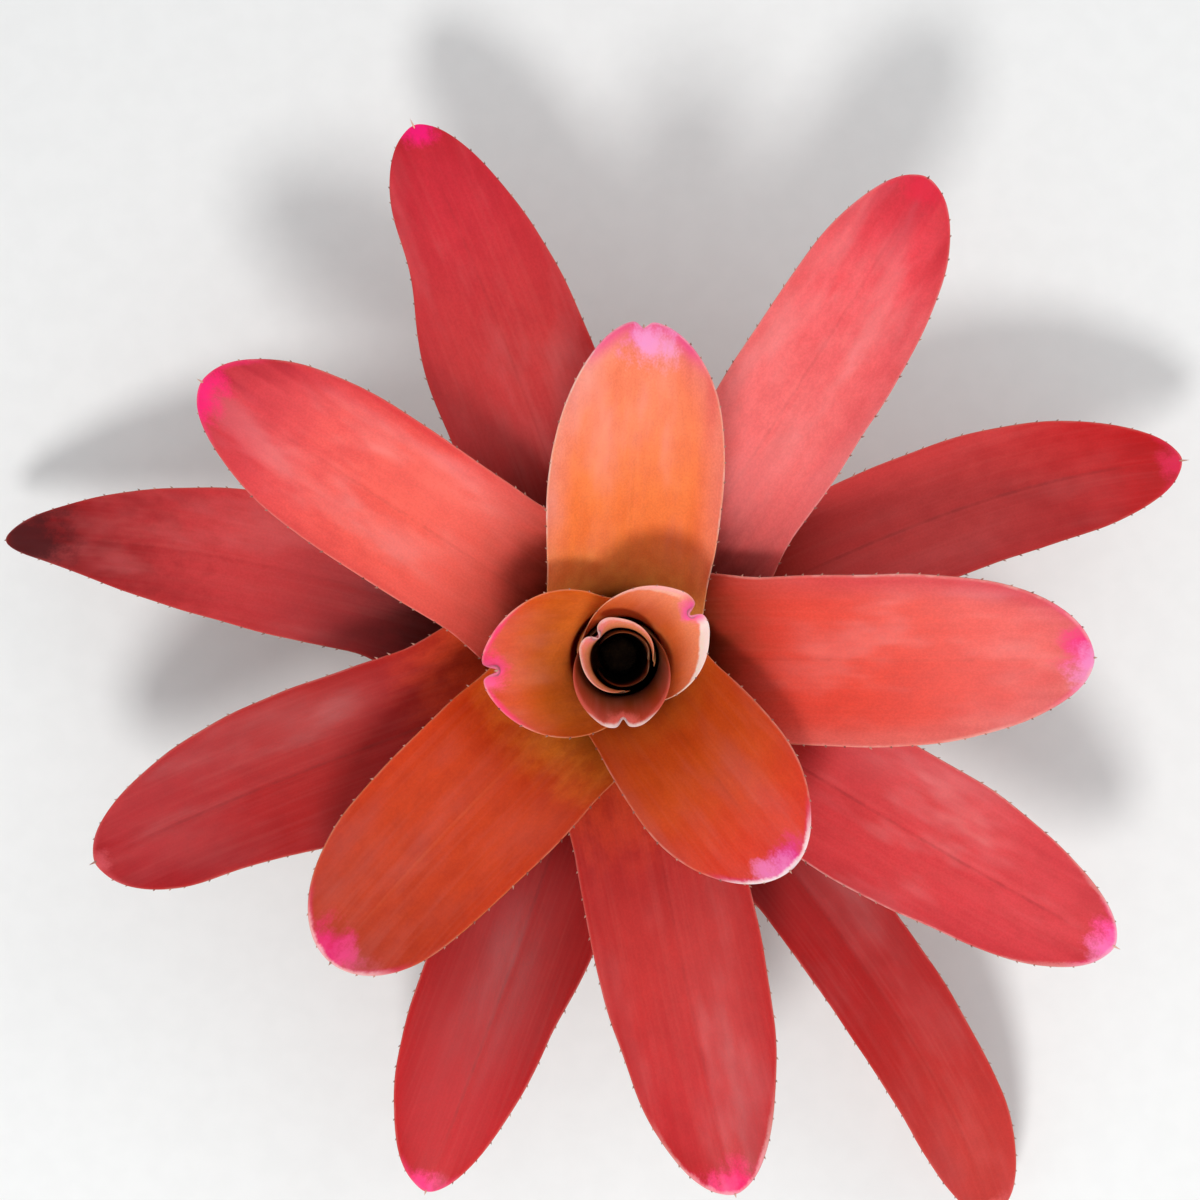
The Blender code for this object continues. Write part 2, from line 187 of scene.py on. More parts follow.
def makeMidrib(age, shape):
    # radius and height along the leaf: a sheath curve up the tube, then the arch of the blade
    form = plantForm
    seat = np.array([np.interp(age, form["seatAges"], form["seatRadii"]),
                     np.interp(age, form["seatAges"], form["seatHeights"])])
    neck = np.array([np.interp(age, form["neckAges"], form["neckRadii"]),
                     np.interp(age, form["neckAges"], form["neckHeights"])])
    tip = np.array([shape["reach"], shape["height"]])
    neckSlope = np.interp(age, form["neckSlopeAges"], form["neckSlopes"])
    baseSlope = np.interp(age, form["baseAges"], form["baseSlopes"])
    lower = np.linalg.norm(neck - seat)
    upper = np.linalg.norm(tip - neck)
    sheath = bezier(seat, seat + step(between(age, *form["sheathHolds"]) * lower, baseSlope),
                    neck - step(between(age, *form["neckHolds"]) * lower, neckSlope), neck)
    blade = bezier(neck, neck + step(form["bladeHolds"][0] * upper, neckSlope),
                   tip - step(form["bladeHolds"][1] * upper, shape["slope"]), tip)
    curve = np.vstack([sheath, blade[1:]])
    along = distances(curve)
    sheathLength = distances(sheath)[-1]
    bladeLength = along[-1] - sheathLength
    rows = np.concatenate([
        np.linspace(0, 1, leafBody["sheathRows"], endpoint=False) * sheathLength,
        sheathLength + np.sin(np.linspace(0, pi / 2, leafBody["bladeRows"] + 1)) * bladeLength])
    heading = unit(np.stack([np.interp(rows, along, np.gradient(curve[:, 0], along)),
                             np.interp(rows, along, np.gradient(curve[:, 1], along))], -1))
    upBlade = np.clip((rows - sheathLength) / bladeLength, 0, 1)
    sideways = (4 * shape.get("bow", 0) * upBlade * (1 - upBlade)
                + shape.get("drift", 0) * upBlade ** 3)
    return dict(along=rows, radius=np.interp(rows, along, curve[:, 0]),
                height=np.interp(rows, along, curve[:, 1]), out=heading[:, 0], up=heading[:, 1],
                upSheath=np.clip(rows / sheathLength, 0, 1), upBlade=upBlade, sideways=sideways,
                sheathLength=sheathLength, length=along[-1], neckRadius=neck[0])


def halfWidth(age, shape, rib):
    # a clasping base, a waist, then the blade, which narrows by squares to both its ends
    form = plantForm
    q = rib["upBlade"]
    full = form["bladeWidest"]
    lower, outer = form["narrowing"]
    narrowing = np.where(q < full, lower * (1 - q / full) ** 2,
                         outer * ((q - full) / (1 - full)) ** 2)
    blade = shape["half"] * (1 - narrowing)
    base = between(age, *form["baseWidths"])
    widest = np.interp(age, [1, 4, 19], form["sheathWidths"])
    sheath = base + (widest - base) * smoothStep(rib["upSheath"] / form["sheathWidest"])
    return sheath + (blade - sheath) * smoothStep(q / form["waistEnds"])


def edgeDistance(shape, rib, width, side):
    # the half width, closed at the tip along a superellipse
    rounding = shape[side]
    intoTip = np.clip((rib["along"] - rib["length"] + rounding) / rounding, 0, 1)
    closing = np.sqrt(np.clip(1 - intoTip ** shape.get("blunt", 2), 0, 1))
    onset = smoothStep((rib["upSheath"] + rib["upBlade"]) / 1.35)
    offNip = rib["length"] - rib["along"] - shape.get("nipPlace", 0)
    spread = np.where(offNip > 0, plantForm["nipSpread"], shape.get("nipReturn", 1))
    nip = shape.get(side + "Nip", 0) * np.exp(-(offNip / spread) ** 2)
    return width * closing * (1 + (shape.get(side + "Full", 1) - 1) * onset) * (1 - nip)


def wrappedSurface(rib, across, width, lean):
    # a roll round the stem: turn = distance across / radius; where the leaf flares, the centre
    # moves out by lean * flare / 2, so that the far side of the roll stays upright
    flare = np.clip(rib["radius"] - rib["neckRadius"], 0, None) * (rib["upBlade"] > 0)
    centre = (lean * flare / 2)[:, None]
    radius = rib["radius"][:, None] - centre
    most = radians(plantForm["mostWrap"]) * radius[:, 0] / width
    turn = across * np.minimum(1, most)[:, None] / radius
    return np.stack([centre + radius * np.cos(turn),
                     radius * np.sin(turn) + rib["sideways"][:, None],
                     np.broadcast_to(rib["height"][:, None], turn.shape)], -1)


def channelSurface(rib, across):
    # a gutter: in each row the cross-section is an arc of bend k, (sin kx / k, (1 - cos kx) / k)
    bends = np.concatenate([[0.8 / max(rib["neckRadius"], 0.02)],
                            1 / np.array(plantForm["channelRadii"])])
    k = np.interp(rib["upBlade"], [0] + plantForm["channelPlaces"], bends)[:, None]
    drift = np.gradient(rib["sideways"], rib["along"])
    heading = unit(np.stack([rib["out"], drift, rib["up"]], -1))
    face = np.stack([-rib["up"], 0 * rib["up"], rib["out"]], -1)
    aside = unit(np.cross(face, heading))
    face = np.cross(heading, aside)
    middle = np.stack([rib["radius"], rib["sideways"], rib["height"]], -1)
    return (middle[:, None] + aside[:, None] * (np.sin(k * across) / k)[..., None]
            + face[:, None] * ((1 - np.cos(k * across)) / k)[..., None])


def surfaceNormals(points):
    # the cross product of the steps along and across, with the closed tip taking its neighbour's
    along = np.gradient(points, axis=0)
    across = np.gradient(points, axis=1)
    normals = np.cross(along, across)
    normals[-1] = normals[-3].mean(axis=0)
    normals[-2] = normals[-3]
    return unit(normals)


def slowWaves(along, seed, shortest=0.045):
    # three sines of unlike length and phase, about 1 high together
    dice = np.random.default_rng(seed)
    lengths = shortest * np.array([1, 1.7, 2.9]) * dice.uniform(0.9, 1.15, 3)
    phases = dice.uniform(0, 2 * pi, 3)
    weights = np.array([0.3, 0.4, 0.3])
    return (weights * np.sin(2 * pi * along[..., None] / lengths + phases)).sum(-1)


def marginDistances(across, along):
    # on the flattened leaf, each point's distance to the nearest of the points round its margin
    flat = np.stack([across, np.broadcast_to(along[:, None], across.shape)], -1)
    outline = np.concatenate([flat[:, 0], flat[::-1, -1]])
    length = distances(outline)
    even = np.linspace(0, length[-1], leafBody["marginPoints"])
    margin = np.stack([np.interp(even, length, outline[:, k]) for k in (0, 1)], -1)
    gaps = flat.reshape(-1, 1, 2) - margin[None]
    return np.sqrt((gaps ** 2).sum(-1).min(axis=1)).reshape(across.shape)


def leafSurface(age, shape):
    # the middle surface, pointing along its azimuth, and each point's place on the leaf
    rib = makeMidrib(age, shape)
    width = halfWidth(age, shape, rib)
    ripple = 1 + leafBody["ripple"] * slowWaves(rib["along"], age + 40, 0.03)
    left = edgeDistance(shape, rib, width, "left") * ripple
    right = edgeDistance(shape, rib, width, "right") * np.roll(ripple, 9)
    even = np.linspace(-1, 1, leafBody["columns"] + 1)
    share = np.sign(even) * (1 - (1 - np.abs(even)) ** leafBody["crowding"])
    edge = np.where(share[None] > 0, left[:, None], right[:, None])
    across = share[None] * edge
    toEdge = marginDistances(across, rib["along"])
    fromTip = np.broadcast_to((rib["length"] - rib["along"])[:, None], across.shape)

    # the roll opens into the gutter by a smooth step along the blade, one side sooner by skew
    opened = smoothStep((rib["along"] - rib["sheathLength"] + 0.005) / leafBody["opening"])
    skewed = shape.get("open", 1) * (1 - shape.get("skew", 0) * share[None])
    opened = (opened[:, None] * skewed)[..., None]
    rolled = wrappedSurface(rib, across, width, shape.get("lean", 0))
    points = rolled * (1 - opened) + channelSurface(rib, across) * opened

    # the notch: near the tip the middle is drawn back by depth * exp(-(x/spread)^2)
    notch = shape.get("notch", 0.0)
    spread = shape.get("notchSpread", 0.0022)
    pull = notch * np.exp(-(across / spread) ** 2) * np.exp(-fromTip / leafBody["notchReach"])
    heading = unit(np.gradient(points[:, leafBody["columns"] // 2], axis=0))
    heading[-2:] = heading[-3]
    points = points - heading[:, None] * pull[..., None]

    # relief along the normal: midrib fold, waves in the margins, upturned rim, pinched tip
    normals = surfaceNormals(points)
    blade = smoothStep(rib["upBlade"] / 0.35)[:, None]
    nearEdge = np.abs(share)[None]
    crease = -leafBody["crease"] * np.exp(-(across / leafBody["creaseWidth"]) ** 2) * blade
    wavesL = slowWaves(rib["along"], age + 60)[:, None]
    wavesR = slowWaves(rib["along"], age + 80)[:, None]
    waves = leafBody["wave"] * np.where(share[None] > 0, wavesL, wavesR) * nearEdge ** 3 * blade
    fold = np.exp(-toEdge / leafBody["rimReach"]) * leafBody["rimCurl"]
    fold = fold * smoothStep(rib["upBlade"] / 0.1)[:, None] * smoothStep(fromTip / 0.012)
    aside = np.abs(across)
    hollows = np.exp(-((aside - leafBody["hollowPlace"]) / leafBody["hollowWidth"]) ** 2)
    pinch = np.exp(-(aside / leafBody["pinchWidth"]) ** 2) - 0.5 * hollows
    pinch = pinch * shape.get("pinch", 0.0008) * np.exp(-fromTip / leafBody["pinchReach"])
    relief = crease + waves + fold + pinch
    points = points + normals * relief[..., None]

    turn = radians(shape["azimuth"])
    spin = np.array([[np.cos(turn), -np.sin(turn), 0], [np.sin(turn), np.cos(turn), 0], [0, 0, 1]])
    places = dict(fromBase=np.broadcast_to(rib["along"][:, None], across.shape), fromTip=fromTip,
                  upBlade=np.broadcast_to(rib["upBlade"][:, None], across.shape),
                  across=across, toEdge=toEdge)
    return points @ spin.T, share, places


def facesFrom(index):
    # quads of neighbouring grid points; where two corners are the same point, a triangle
    quads = np.stack([index[:-1, :-1], index[1:, :-1], index[1:, 1:], index[:-1, 1:]], -1)
    quads = quads.reshape(-1, 4)
    same = quads == np.roll(quads, -1, axis=1)
    whole = quads[~same.any(axis=1)]
    once = same.sum(axis=1) == 1
    triangles = quads[once][~same[once]].reshape(-1, 3)
    return [whole, triangles]


def meshFrom(name, points, faces, values):
    # faces: arrays of quads and triangles; values: one number a point under each label
    mesh = bpy.data.meshes.new(name)
    mesh.from_pydata(points.tolist(), [], sum([group.tolist() for group in faces], []))
    for label, data in values.items():
        layer = mesh.attributes.new(label, "FLOAT", "POINT")
        layer.data.foreach_set("value", np.ascontiguousarray(data, dtype=np.float32))
    mesh.shade_smooth()
    mesh.validate()
    obj = bpy.data.objects.new(name, mesh)
    bpy.context.scene.collection.objects.link(obj)
    return obj


def layMap(obj, u, v):
    # one flat map: across the leaf is U and along it is V, the underside beside the top
    mesh = obj.data
    corners = np.empty(len(mesh.loops), dtype=np.int32)
    mesh.loops.foreach_get("vertex_index", corners)
    layer = mesh.uv_layers.new(name="leafMap")
    flat = np.stack([u[corners], v[corners]], -1)
    layer.uv.foreach_set("vector", flat.ravel().astype(np.float32))


def makeLeaf(age, shape):
    points, share, places = leafSurface(age, shape)
    rows, columns = points.shape[:2]
    normals = surfaceNormals(points)
    # a lens in section: thickness falls as sqrt(1 - share^6) to nothing at the welded margins
    lens = np.sqrt(np.clip(1 - np.abs(share) ** 6, 0, 1))[None]
    ends = (smoothStep(places["fromBase"] / leafBody["baseRounding"])
            * np.sqrt(np.clip(places["fromTip"] / leafBody["tipRounding"], 0, 1)))
    thick, thin = leafBody["thicknesses"]
    half = leafBody["thickness"] / 2 * lens * ends
    half = half * (thick - (thick - thin) * places["upBlade"])
    top = points + normals * half[..., None]
    under = points - normals * half[..., None]

    topIndex = np.arange(rows * columns).reshape(rows, columns)
    topIndex[-1, :] = topIndex[-1, 0]
    underIndex = topIndex.copy()
    underIndex[1:-1, 1:-1] = rows * columns + np.arange((rows - 2) * (columns - 2)).reshape(
        rows - 2, columns - 2)
    allPoints = np.vstack([top.reshape(-1, 3), under[1:-1, 1:-1].reshape(-1, 3)])
    used = np.zeros(len(allPoints), dtype=bool)
    used[np.unique(np.concatenate([topIndex.ravel(), underIndex.ravel()]))] = True
    renumber = np.cumsum(used) - 1
    faces = [renumber[group] for group in facesFrom(topIndex) + facesFrom(underIndex[:, ::-1])]

    values = {label: np.concatenate([data.ravel(), data[1:-1, 1:-1].ravel()])[used]
              for label, data in places.items()}
    below = np.concatenate([np.zeros(rows * columns), np.ones((rows - 2) * (columns - 2))])
    values["under"] = below[used]
    leaf = meshFrom(f"leafBlade_{age:02d}", allPoints[used], faces, values)
    layMap(leaf, 0.25 + values["across"] / 0.2 + 0.5 * values["under"], values["fromBase"] / 0.36)
    return leaf, points, places


spineForm = {
    "gap": 0.0075,           # from one marginal spine to the next
    "scatter": 0.0011,
    "length": 0.0013,
    "width": 0.0009,
    "pointWidth": 0.0016,    # of the soft points at the ends of the leaves
    "bend": 0.35,
    "bare": 0.010,           # no spines this near to the tip
    "firstSpined": 4,        # the youngest leaf with spines, and with a point
    "firstPointed": 5,
    "horn": "6a1c14",
    "flesh": "f0b8a0",
    "roughness": 0.5,
}


def makeHooks(name, starts, outs, sides, lengths, tones, widths):
    # small closed thorns: flattened five-sided rings of given radii along start + out*t,
    # bent sideways by bend * t^2, with a point at each end
    bend = spineForm["bend"]
    t = np.array([-0.25, 0.0, 0.35, 0.7])
    around = np.arange(5) * 2 * pi / 5
    up = unit(np.cross(outs, sides))
    across = unit(np.cross(up, outs))
    centres = (starts[:, None] + outs[:, None] * (lengths[:, None] * t)[..., None]
               + sides[:, None] * (lengths[:, None] * bend * np.clip(t, 0, 1) ** 2)[..., None])
    radii = widths[:, None] / 2 * np.array([0.55, 1.0, 0.62, 0.28])
    rings = (centres[:, :, None]
             + across[:, None, None] * (radii[..., None] * np.cos(around))[..., None]
             + up[:, None, None] * (radii[..., None] * np.sin(around) * 0.6)[..., None])
    points = starts + outs * lengths[:, None] + sides * (lengths * bend)[:, None]
    roots = starts - outs * (lengths * 0.4)[:, None]
    count = len(starts)
    each = np.concatenate([roots[:, None], rings.reshape(count, -1, 3), points[:, None]], axis=1)
    index = np.concatenate([np.zeros((1, 5), int), 1 + np.arange(20).reshape(4, 5),
                            np.full((1, 5), 21)])
    index = np.concatenate([index, index[:, :1]], axis=1)
    size = each.shape[1]
    shift = size * np.arange(count)[:, None, None]
    faces = [(one + shift).reshape(-1, one.shape[1]) for one in facesFrom(index[:, ::-1])]
    return meshFrom(name, each.reshape(-1, 3), faces, {"tone": np.repeat(tones, size)})


def spinesOf(points, places, margin, seed):
    # spines along one margin, evenly spaced with some scatter, pointing outwards and tipwards
    dice = np.random.default_rng(seed)
    line = points[:, margin]
    inner = points[:, 3 if margin == 0 else -4]
    along = distances(line)
    first = np.interp(0.02, places["upBlade"][:, 0], along)
    last = along[-1] - spineForm["bare"]
    count = max(int((last - first) / spineForm["gap"]), 2)
    where = np.linspace(first, last, count) + dice.normal(0, spineForm["scatter"], count)

    def at(curve, far):
        return np.stack([np.interp(far, along, curve[:, k]) for k in range(3)], -1)

    starts = at(line, where)
    onward = unit(at(line, where + 0.002) - starts)
    outward = unit(starts - at(inner, where))
    outward = unit(outward - onward * (outward * onward).sum(-1, keepdims=True))
    sizes = dice.uniform(0.6, 1.15, count) * np.linspace(1.1, 0.5, count)
    lengths = spineForm["length"] * sizes
    return starts, unit(outward + 0.45 * onward), onward, lengths, dice.uniform(0.5, 1.0, count)


# How each leaf looks, along the leaf: throat, the wrapped base, up to throatEnd; middle; outer;
# the dark throats are partly the leaf's own olive and partly painted shade, and the bright throats
# of leaves 2, 4, 5, 7, 8, 11 and 13 and the pale middle of leaf 2 are painted light on shaded bases
# blush, the pink tip, with hem and hemWidth, how far it follows the edge; glint, its lilac patch
# bloom: painted sheen, a pale reflection laid over the skin; pallor: pale margins; crimson: dark
# red margins, more to the left in plus with crimsonSide; tipTone: how dark the end is;
# line: along the midrib; rim: the thin edge
# lip: a painted highlight, the pale band on the left in plus, lipOther: its share on the other side
# frost: the white edge of the tip, up to frostReach from it
# shift: sideways, to the left in plus; back: away from the tip
leafDefaults = dict(throat="6e2202", throatEnd=0.34, middle="c83028", outer="c83028",
                    blush="f02c70", blushAmount=0.9, blushSize=0.011, blushShift=0.0, hem=0.5,
                    hemWidth=0.0026, glint=0.0, glintShift=0.0, glintBack=0.003, frost=0.0,
                    frostReach=0.040, bloom=0.2, pallor=0.0, crimson=0.35, crimsonSide=0.0,
                    tipTone=0.0, line="5a1410", lineAmount=0.09, rim="e88884", rimAmount=0.25,
                    rimWidth=0.0010, lip="fbeee2", lipAmount=0.0, lipSide=1.0, lipOther=0.0)
leafLooks = {
    # leaf 1's near-black throat and middle are painted shade: the dark inside the deep tube
    1: dict(throat="0c0401", middle="3c2010", outer="8a4820", blush="743a1e", blushAmount=0.5,
            blushSize=0.004, bloom=0.1, crimson=0.0, rim="84461e", rimAmount=0.4),
    2: dict(throat="d88250", throatEnd=0.55, middle="fc9c64", outer="ff9474", blush="ec7c80",
            blushSize=0.008, glint=0.2, frost=0.35, frostReach=0.006, crimson=0.0, rim="d88a68",
            rimAmount=0.4),
    # leaf 3's dark throat and middle are painted shade low down in the tube
    3: dict(throat="341404", throatEnd=0.6, middle="7c3109", outer="b03410", blush="dc6458",
            blushSize=0.0065, frost=0.7, frostReach=0.0028, crimson=0.0, rim="a84a24"),
    4: dict(throat="ec8a48", middle="d26228", outer="fa9468", blush="ff5a9c", blushSize=0.0078,
            crimson=0.0, rim="f2b894", rimAmount=0.35, lipAmount=0.7, lipSide=-1.0, lipOther=0.4),
    5: dict(throat="ff8b34", throatEnd=0.5, middle="d06413", outer="e35220", blush="ff3474",
            blushSize=0.009, hem=1.0, glint=0.15, glintShift=0.003, glintBack=0.0015, bloom=0.3,
            crimson=0.15, rim="f7b59c", rimAmount=0.5),
    6: dict(throat="d26e20", middle="cd4f0e", outer="dc3c22", blush="d82484", blushSize=0.0115,
            hem=0.7, glint=0.45, glintShift=-0.005, frost=0.8, frostReach=0.014, crimson=0.15,
            rim="ffd0c4", rimAmount=0.2),
    7: dict(throat="ffb058", middle="ff8440", outer="ff865c", blush="e83e88", blushAmount=0.75,
            blushSize=0.0125, hem=1.0, hemWidth=0.0065, glint=0.7, glintShift=-0.003,
            glintBack=0.008, bloom=0.7, pallor=0.35, crimson=0.4, crimsonSide=-0.6, lineAmount=0.05,
            rim="fff0e8", rimAmount=0.3),
    8: dict(throat="ffa636", middle="cc400a", outer="b33710", blush="d81468", blushSize=0.013,
            blushShift=-0.003, hem=0.6, glint=0.1, glintShift=0.005, frost=0.45, frostReach=0.014,
            bloom=0.15, crimson=0.15, line="f08850", lineAmount=0.1, rim="f0a484", rimAmount=0.2),
    9: dict(throat="762806", middle="ea4c39", outer="f27068", blush="f0247c", blushSize=0.013,
            blushShift=0.004, glint=0.6, glintShift=-0.005, glintBack=0.002, bloom=0.65,
            pallor=0.25, crimson=0.6, crimsonSide=0.5, tipTone=0.15, rim="ffc4bc", rimAmount=0.4,
            rimWidth=0.0016),
    10: dict(throat="721d05", throatEnd=0.4, middle="ff6858", outer="ea5258", blush="ff1474",
             blushSize=0.012, blushShift=0.005, bloom=0.7, crimson=0.6, crimsonSide=-0.4,
             tipTone=1.0, rim="ffaaa8", rimAmount=0.15),
    11: dict(throat="ff6434", middle="c22e2a", outer="c02429", blush="f01c6c", blushSize=0.012,
             glint=0.1, glintShift=-0.006, glintBack=0.001, frost=0.3, tipTone=0.2),
    12: dict(throat="680a05", throatEnd=0.38, middle="ff7a78", outer="fa4c58", blush="e81c40",
             blushAmount=0.6, bloom=0.65, pallor=0.1, crimson=0.4, crimsonSide=-0.5, tipTone=0.75,
             rim="ffb0b0", rimAmount=0.2),
    13: dict(throat="ff6430", middle="ae1b18", outer="ae1e25", blush="d05c64", blushAmount=0.5,
             blushSize=0.006, bloom=0.15, crimson=0.4, crimsonSide=0.3, lineAmount=0.22,
             rim="e08480"),
    14: dict(throat="bc3a1f", middle="d83c40", outer="d6444a", blush="ff4c9c", blushShift=0.003,
             glint=0.3, glintShift=-0.003, frost=0.2, bloom=0.65, crimson=0.5, tipTone=0.05,
             lineAmount=0.22, rim="ffc0bc", rimAmount=0.35),
    15: dict(throat="3c120a", throatEnd=0.42, middle="ca3838", outer="da3040", blush="ff0678",
             blushSize=0.0085, blushShift=-0.001, hem=0.0, bloom=0.35, crimson=0.5, tipTone=0.35,
             rim="b82838", rimAmount=0.2),
    16: dict(throat="580807", middle="a20a09", outer="c41e25", blush="f4307c", blushSize=0.008,
             blushShift=-0.003, glint=0.1, glintShift=0.004, bloom=0.0, tipTone=0.1,
             lineAmount=0.22, rim="ea8c88"),
    17: dict(throat="a2382c", middle="cc403e", outer="c20810", blush="f02c66", blushAmount=0.5,
             blushSize=0.009, bloom=0.1, tipTone=0.2, lineAmount=0.22, rim="d87c7c"),
    18: dict(throat="240b06", throatEnd=0.58, middle="da4446", outer="94040c", blush="3a0204",
             blushAmount=0.85, blushSize=0.030, hem=0.0, bloom=0.3, rim="c87070", rimAmount=0.15),
    19: dict(throat="601515", middle="ae0c0c", outer="c43a32", blush="ec7474", blushAmount=0.4,
             bloom=0.15, rim="e88a86"),
}

leafSkin = {
    "roughness": 0.54,
    "shine": 0.22,
    "polish": 0.10,          # how much smoother the waxy patches are
    "coat": 0.03,
    "coatRoughness": 0.30,
    "glow": 0.45,            # share of the light that passes into the flesh
    "glowReach": (0.0030, 0.0011, 0.0007),
    "veinDepth": 0.00006,
    "veinStrength": 0.05,
}


def colourOf(code):
    # six hex digits, as a screen shows them, to the linear values the shader wants
    screen = np.array([int(code[i:i + 2], 16) for i in (0, 2, 4)]) / 255
    linear = np.where(screen <= 0.04045, screen / 12.92, ((screen + 0.055) / 1.055) ** 2.4)
    return tuple(float(c) for c in linear) + (1.0,)


def socketOf(key):
    # blushSize feeds the socket Blush Size
    return "".join(" " + letter if letter.isupper() else letter for letter in key).title()


def node(tree, kind, settings=None, **feeds):
    # a shader node with its settings, and a value or a link for each named input
    made = tree.nodes.new(kind if kind.startswith("NodeGroup") else "ShaderNode" + kind)
    made.location = (190 * (len(tree.nodes) % 12), -230 * (len(tree.nodes) // 12))
    for label, value in (settings or {}).items():
        setattr(made, label, value)
    for label, value in feeds.items():
        feed(tree, made, int(label[1:]) if label[1:].isdigit() else label.replace("_", " "), value)
    return made


def feed(tree, made, socket, value):
    if isinstance(value, bpy.types.NodeSocket):
        tree.links.new(value, made.inputs[socket])
    else:
        made.inputs[socket].default_value = value


def calc(tree, operation, first, second=0.0):
    return node(tree, "Math", {"operation": operation}, i0=first, i1=second).outputs[0]


def times(tree, first, second):
    return calc(tree, "MULTIPLY", first, second)


def plus(tree, first, second):
    return calc(tree, "ADD", first, second)


def minus(tree, first, second):
    return calc(tree, "SUBTRACT", first, second)


def ratio(tree, first, second):
    return calc(tree, "DIVIDE", first, second)


def ramp(tree, value, low, high, start=0.0, end=1.0):
    # a smooth step of value from low to high
    made = node(tree, "MapRange", {"interpolation_type": "SMOOTHSTEP"}, Value=value, From_Min=low,
                From_Max=high, To_Min=start, To_Max=end)
    return made.outputs["Result"]


def fade(tree, value, low, high):
    # 1 below low and 0 above high
    return ramp(tree, value, low, high, 1.0, 0.0)


def mix(tree, share, first, second, blend="MIX"):
    # the second colour over the first, by this share
    made = node(tree, "Mix", {"data_type": "RGBA", "blend_type": blend}, i0=share, i6=first,
                i7=second)
    return made.outputs[2]


def noise(tree, vector, scale=1.0, detail=2.0, roughness=0.5):
    made = node(tree, "TexNoise", None, Vector=vector, Scale=scale, Detail=detail,
                Roughness=roughness)
    return made.outputs[0]


def along3(tree, x, y, z):
    return node(tree, "CombineXYZ", None, X=x, Y=y, Z=z).outputs[0]


def openGroup(name, inputs, outputs):
    # a shader group with its named sockets: c is a colour, f a number, v a vector
    kinds = {"c": "NodeSocketColor", "f": "NodeSocketFloat", "v": "NodeSocketVector"}
    tree = bpy.data.node_groups.new(name, "ShaderNodeTree")
    for label, kind in inputs.items():
        tree.interface.new_socket(name=label, in_out="INPUT", socket_type=kinds[kind])
    for label, kind in outputs.items():
        tree.interface.new_socket(name=label, in_out="OUTPUT", socket_type=kinds[kind])
    return tree, node(tree, "NodeGroupInput").outputs, node(tree, "NodeGroupOutput")


def makeVeinGroup():
    # parallel veins: noise stretched far along the leaf, hair-fine lines and soft broad streaks
    tree, given, out = openGroup("leafVeins", {"Across": "f", "Along": "f", "Seed": "f"},
                                 {"Fine": "f", "Broad": "f", "Height": "f"})
    fineAt = along3(tree, times(tree, given["Across"], 750.0), times(tree, given["Along"], 14.0),
                    given["Seed"])
    broadAt = along3(tree, times(tree, given["Across"], 105.0), times(tree, given["Along"], 7.0),
                     given["Seed"])
    fine = ramp(tree, noise(tree, fineAt, detail=2.0), 0.40, 0.72)
    broad = ramp(tree, noise(tree, broadAt, detail=2.0, roughness=0.6), 0.36, 0.70)
    feed(tree, out, "Fine", fine)
    feed(tree, out, "Broad", broad)
    feed(tree, out, "Height", plus(tree, times(tree, fine, 0.2), times(tree, broad, 0.5)))
    return tree


def makeMottleGroup():
    # the skin's unevenness, from large to small: Haze, where the sheen is painted and the skin is
    # smoother, blotches of a few millimetres, grain
    tree, given, out = openGroup("skinMottle", {"Across": "f", "Along": "f", "Seed": "f"},
                                 {"Haze": "f", "Blotch": "f", "Grain": "f"})
    made = []
    for wide, far, detail, low, high in ((58.0, 18.0, 3.0, 0.44, 0.72),
                                         (150.0, 95.0, 4.0, 0.33, 0.70),
                                         (1500.0, 1100.0, 2.0, 0.30, 0.70)):
        place = along3(tree, times(tree, given["Across"], wide), times(tree, given["Along"], far),
                       given["Seed"])
        made.append(ramp(tree, noise(tree, place, detail=detail, roughness=0.6), low, high))
    for label, value in zip(("Haze", "Blotch", "Grain"), made):
        feed(tree, out, label, value)
    return tree


leafTones = {
    "pale": (1.0, 0.50, 0.42, 1),      # margins and hair-fine lines
    # painted sheen: the pale reflection laid over the skin where Haze and bloom are high
    "haze": (1.0, 0.46, 0.44, 1),
    "streak": (0.66, 0.42, 0.42, 1),   # these five darken what is under them
    "blotch": (0.70, 0.46, 0.44, 1),
    "grain": (0.62, 0.42, 0.40, 1),
    "crimson": (0.74, 0.20, 0.36, 1),
    "ripe": (0.62, 0.16, 0.36, 1),
    "glint": (0.90, 0.36, 0.66, 1),
    "frost": (0.92, 0.74, 0.70, 1),
    "dull": (0.16, 0.13, 0.045, 1),    # the underside and its scurf
    "scurf": (0.55, 0.47, 0.42, 1),
}


